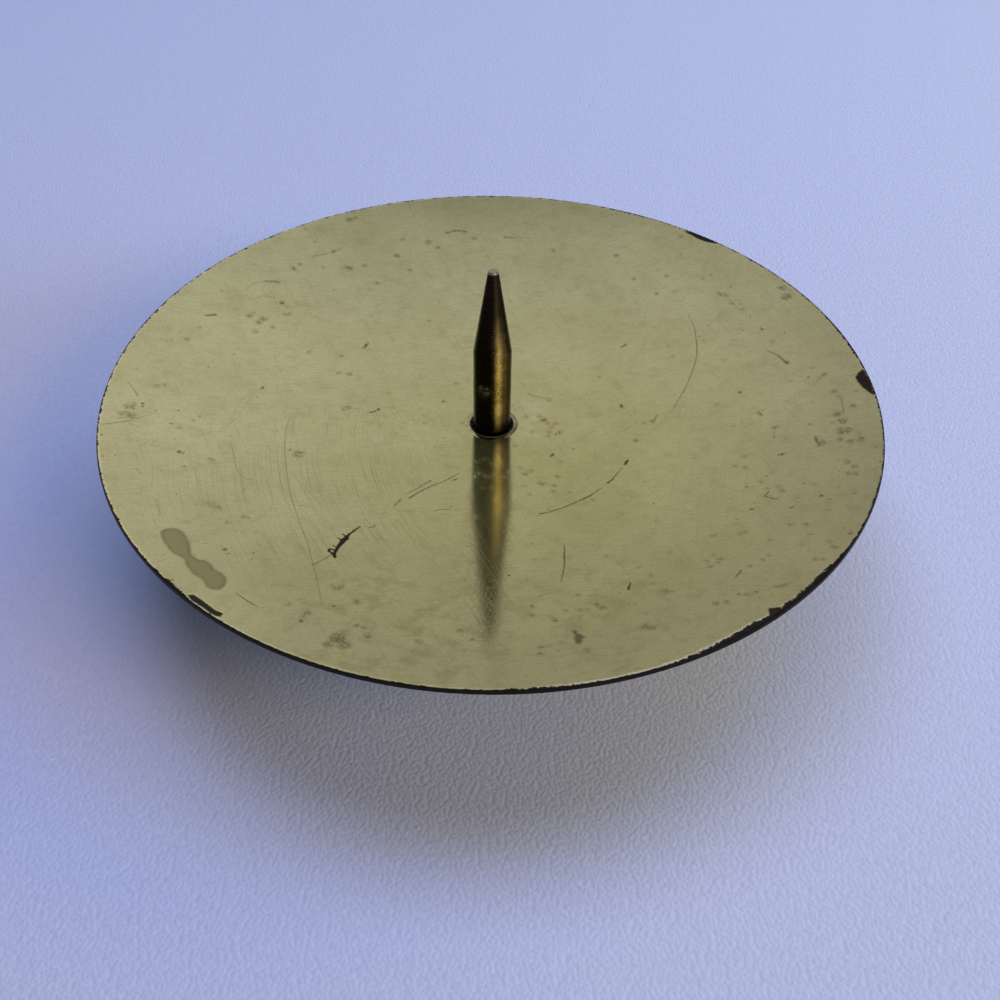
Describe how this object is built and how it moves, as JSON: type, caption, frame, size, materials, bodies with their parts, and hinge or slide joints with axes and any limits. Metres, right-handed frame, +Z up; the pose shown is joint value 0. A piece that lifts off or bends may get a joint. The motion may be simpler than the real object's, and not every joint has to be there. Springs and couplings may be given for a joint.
{
  "type": "pricket candle stand",
  "caption": "Low brass candle stand: a shallow round drip plate with a pointed centre pin that a pillar candle is pushed onto, raised on a flared hollow foot.",
  "frame": {"origin": "on the surface that the stand rests on, under the centre of the pin", "axes": "+Z up along the pin; the stand is round about Z, so X and Y are free"},
  "size_m": [0.12, 0.12, 0.0486],
  "materials": {
    "plate_brass": "pressed sheet with a worn satin lustre, fine scratches, a water stain and pits, its cut edge dark where the brass has worn off",
    "pin_brass": "turned and polished, darkened with age",
    "collar_brass": "turned, its spread lip burnished by the riveting tool",
    "foot_brass": "spun sheet with fine rings, aged satin",
    "washer_steel": "punched and zinc plated",
    "spring_steel": "hardened and blackened",
    "nut_brass": "machined from hexagon bar",
    "felt": "pressed wool felt, cut with a clean edge"
  },
  "bodies": {
    "root": {"drip_plate": "plate_brass", "pricket_pin": "pin_brass", "plate_collar": "collar_brass", "pedestal_foot": "foot_brass", "clamp_washer": "washer_steel", "spring_washer": "spring_steel", "pin_nut": "nut_brass", "felt_ring": "felt"}
  },
  "joints": []
}
